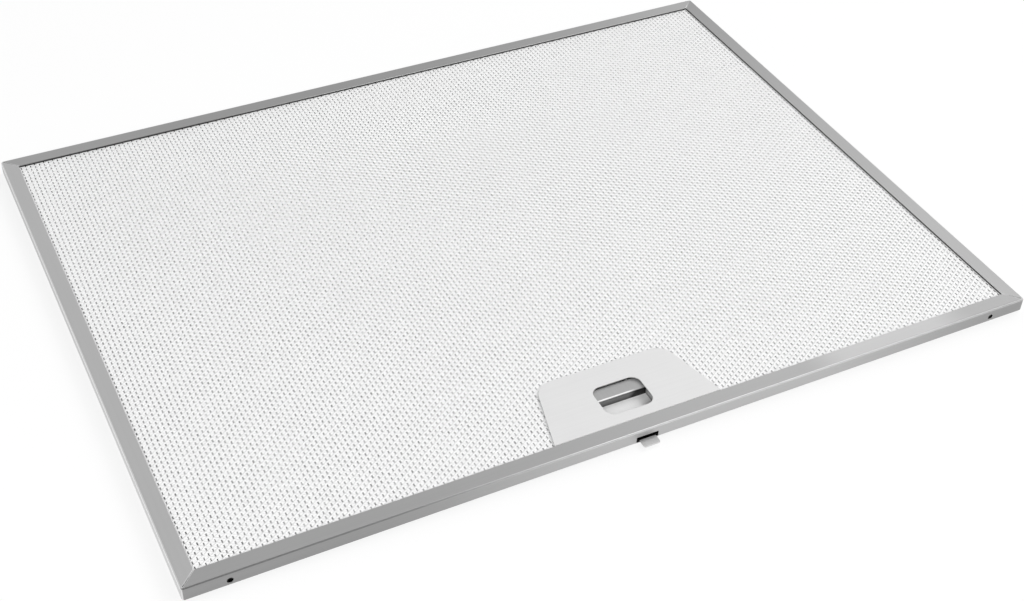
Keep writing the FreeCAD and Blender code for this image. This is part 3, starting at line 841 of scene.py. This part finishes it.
# The cover plate: satin aluminium sheet with a punched finger opening. A step along its front
# lowers a strip that is tucked under the frame's lip, so that the panel stands level with it.
plate_low, plate_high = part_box("latch_plate")
plate_front_half = plate_high.x
plate_back_half = 36.0 * MM
plate_sheet = 0.6 * MM
plate_step = -161.2 * MM
plate_corner = 10.0 * MM
plate_edge = 0.2 * MM
finger_half = 13.1 * MM
finger_back = -134.8 * MM
finger_corner = 5.0 * MM
plate_corner_steps = 12
finger_corner_steps = 10

step_back = plate_step + plate_sheet
strip_high = plate_low.z + plate_sheet
panel_low = plate_high.z - plate_sheet
step_section = [
    (plate_low.y - past, plate_low.z),
    (step_back, plate_low.z),
    (step_back, panel_low),
    (plate_high.y + past, panel_low),
    (plate_high.y + past, plate_high.z),
    (plate_step, plate_high.z),
    (plate_step, strip_high),
    (plate_low.y - past, strip_high),
]
plate_rim = rounded_outline(
    [
        (-plate_front_half, plate_low.y, 0),
        (plate_front_half, plate_low.y, 0),
        (plate_back_half, plate_high.y, plate_corner),
        (-plate_back_half, plate_high.y, plate_corner),
    ],
    plate_corner_steps,
)
finger_rim = rounded_outline(
    [
        (-finger_half, finger_front, finger_corner),
        (finger_half, finger_front, finger_corner),
        (finger_half, finger_back, finger_corner),
        (-finger_half, finger_back, finger_corner),
    ],
    finger_corner_steps,
)
plate_span = 2 * (plate_front_half + past)
stepped = bmesh.new()
add_prism(stepped, [(-plate_span / 2, y, z) for y, z in step_section], (plate_span, 0, 0))
cover_plate = new_piece("cover_plate", stepped)
for outline, operation in ((plate_rim, "INTERSECT"), (finger_rim, "DIFFERENCE")):
    punch = bmesh.new()
    add_prism(punch, [(x, y, -past) for x, y in outline], (0, 0, frame_height + 2 * past))
    combine(cover_plate, new_piece("plate_punch", punch), operation)
soften_edges(cover_plate, plate_edge)

satin_plate = Finish("satin_plate")
satin_lines = satin_plate.noise((25.0, 1100.0, 1100.0))
plate_clouds = satin_plate.noise((40.0, 40.0, 40.0), detail=2.0)
tone = satin_lines * 0.5 + plate_clouds * 0.5
satin_plate.surface(
    base_color=satin_plate.mix(tone, grey(0.71), grey(0.81)),
    metallic=0.3,
    roughness=0.38 + tone * 0.14,
    normal=satin_plate.relief(satin_lines, 0.003 * MM),
)
dress(cover_plate, satin_plate)
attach(cover_plate, "filter")
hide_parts("latch_plate")

# The setting: a white table, a soft key lamp on the right, a fill lamp beside the camera, and
# a pale surround. The camera stands in front on the left and looks down on the filter.
floor_half = 12.0
floor_drop = 0.2 * MM
table_white = grey(0.93)
full_white = grey(1.0)
white_share = 0.75
floor_level = Matrix.Translation((0, 0, -floor_drop))
floor_shape = bmesh.new()
bmesh.ops.create_grid(floor_shape, x_segments=1, y_segments=1, size=floor_half, matrix=floor_level)
floor = new_piece("floor", floor_shape)
white_table = Finish("white_table")
white_table.surface(base_color=table_white, roughness=0.9)
path = white_table.add("ShaderNodeLightPath", {}, {}).socket.node.outputs
looks = ("Is Camera Ray", "Is Glossy Ray", "Is Transmission Ray")
direct, mirrored, through = [Wire(white_table, path[name]) for name in looks]
glow = white_table.add("ShaderNodeEmission", {}, {"Color": full_white, "Strength": 1.0})
lit = Wire(white_table, white_table.shader.outputs[0])
table_surface = white_table.add(
    "ShaderNodeMixShader", {}, {0: (direct + mirrored + through) * white_share, 1: lit, 2: glow}
)
white_table.connect(white_table.tree.nodes["Material Output"].inputs["Surface"], table_surface)
dress(floor, white_table)

back_way = (0.5, 0.87, 0.0)
back_fade = (-0.5, 0.5)
front_level = 0.30
back_level = 0.66
back_patch = Vector((0.57, 0.54, 0.62)).normalized()
back_patch_angles = (16, 4)
back_patch_level = 0.75
front_patch = Vector((0.43, -0.45, 0.78)).normalized()
front_patch_angles = (20, 8)
front_patch_level = 1.6
world = bpy.data.worlds.new("surround")
world.use_nodes = True
bpy.context.scene.world = world
surround = Nodes(world.node_tree)


def toward(direction):
    """How far the light's way points along a direction, from -1 to 1."""
    way = surround.add("ShaderNodeTexCoord", {}, {}, "Generated")
    settings = {"operation": "DOT_PRODUCT"}
    return surround.add("ShaderNodeVectorMath", settings, {0: way, 1: direction}, "Value")


def patch(direction, edge, core):
    """A soft round patch of light: 1 inside its core, 0 past its edge, both as angles in degrees."""
    return surround.ease(toward(direction), math.cos(math.radians(edge)), math.cos(math.radians(core)))


behind = surround.ease(toward(back_way), *back_fade)
back_glow = patch(back_patch, *back_patch_angles) * back_patch_level
front_glow = patch(front_patch, *front_patch_angles) * front_patch_level
level = front_level + behind * (back_level - front_level) + (back_glow + front_glow)
background = world.node_tree.nodes["Background"].inputs
surround.connect(background["Strength"], level)
surround.connect(background["Color"], full_white)

lamp_distance = 3.0
lamp_width = 1.2
key_direction = Vector((0.74, 0.12, 0.66)).normalized()
key_power = 30.0
fill_direction = Vector((-0.35, -0.70, 0.62)).normalized()
fill_power = 46.0
lamps = (("key_lamp", key_direction, key_power), ("fill_lamp", fill_direction, fill_power))
for name, direction, power in lamps:
    lamp_data = bpy.data.lights.new(name, "AREA")
    lamp_data.shape = "SQUARE"
    lamp_data.size = lamp_width
    lamp_data.energy = power
    lamp = bpy.data.objects.new(name, lamp_data)
    lamp.location = direction * lamp_distance
    lamp.rotation_euler = direction.to_track_quat("Z", "Y").to_euler()
    lamp.visible_glossy = False
    bpy.context.scene.collection.objects.link(lamp)

camera_azimuth = math.radians(-27.869)
camera_elevation = math.radians(40.680)
camera_roll = math.radians(2.295)
camera_place = Vector((-0.30609, -0.60431, 0.53795))
camera_data = bpy.data.cameras.new("camera")
camera_data.sensor_width = 36.0
camera_data.lens = 54.97
backward = Vector((
    math.sin(camera_azimuth) * math.cos(camera_elevation),
    -math.cos(camera_azimuth) * math.cos(camera_elevation),
    math.sin(camera_elevation),
))
level_right = Vector((math.cos(camera_azimuth), math.sin(camera_azimuth), 0))
level_up = backward.cross(level_right)
right = level_right * math.cos(camera_roll) + level_up * math.sin(camera_roll)
up = level_up * math.cos(camera_roll) - level_right * math.sin(camera_roll)
camera = bpy.data.objects.new("camera", camera_data)
turned = Matrix((right, up, backward)).transposed()
camera.matrix_world = Matrix.Translation(camera_place) @ turned.to_4x4()
bpy.context.scene.collection.objects.link(camera)
bpy.context.scene.camera = camera
bpy.context.scene.view_settings.view_transform = "Standard"
